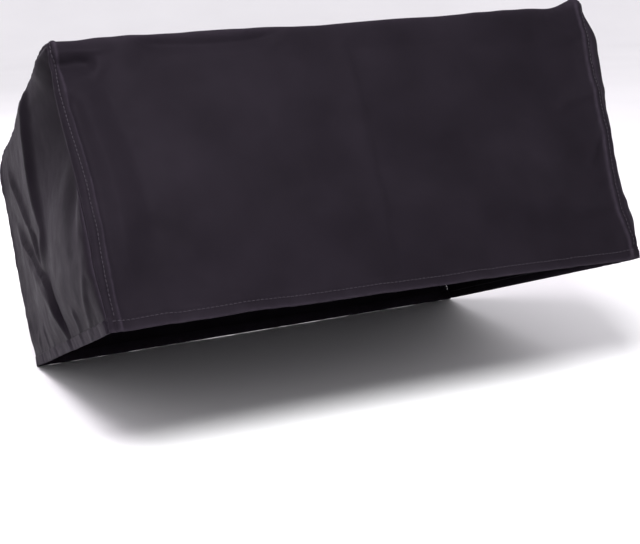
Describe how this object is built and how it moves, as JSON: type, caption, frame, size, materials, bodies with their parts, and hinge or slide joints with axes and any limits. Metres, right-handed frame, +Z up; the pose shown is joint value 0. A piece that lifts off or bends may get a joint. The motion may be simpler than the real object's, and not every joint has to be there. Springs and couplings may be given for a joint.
{
  "type": "machine dust cover",
  "caption": "Soft woven dust cover with a front, top and back in one strip and a sewn panel at each side, open below, hung over a propped-open lid like a low tent.",
  "frame": {"origin": "on the inner face of the top, 60 mm behind the ridge and halfway across, where the cover bears on the propped-open lid that holds it up", "axes": "+X to the right seen from the front, along the ridge; +Y to the back; +Z up as it hangs"},
  "size_m": [0.4862, 0.4304, 0.3264],
  "materials": {
    "cloth": "satin",
    "cloth_hem": "satin",
    "thread": "satin"
  },
  "bodies": {
    "root": {"wrap_panel": "cloth", "front_hem": "cloth_hem", "back_hem": "cloth_hem", "front_hem_thread": "thread", "back_hem_thread": "thread", "left_side_panel": "cloth", "left_side_hem": "cloth_hem", "left_side_hem_thread": "thread", "left_seam_allowance": "cloth_hem", "left_overlock_thread": "thread", "left_closing_stitch": "thread", "left_topstitch": "thread", "right_side_panel": "cloth", "right_side_hem": "cloth_hem", "right_side_hem_thread": "thread", "right_seam_allowance": "cloth_hem", "right_overlock_thread": "thread", "right_closing_stitch": "thread", "right_topstitch": "thread"}
  },
  "joints": []
}
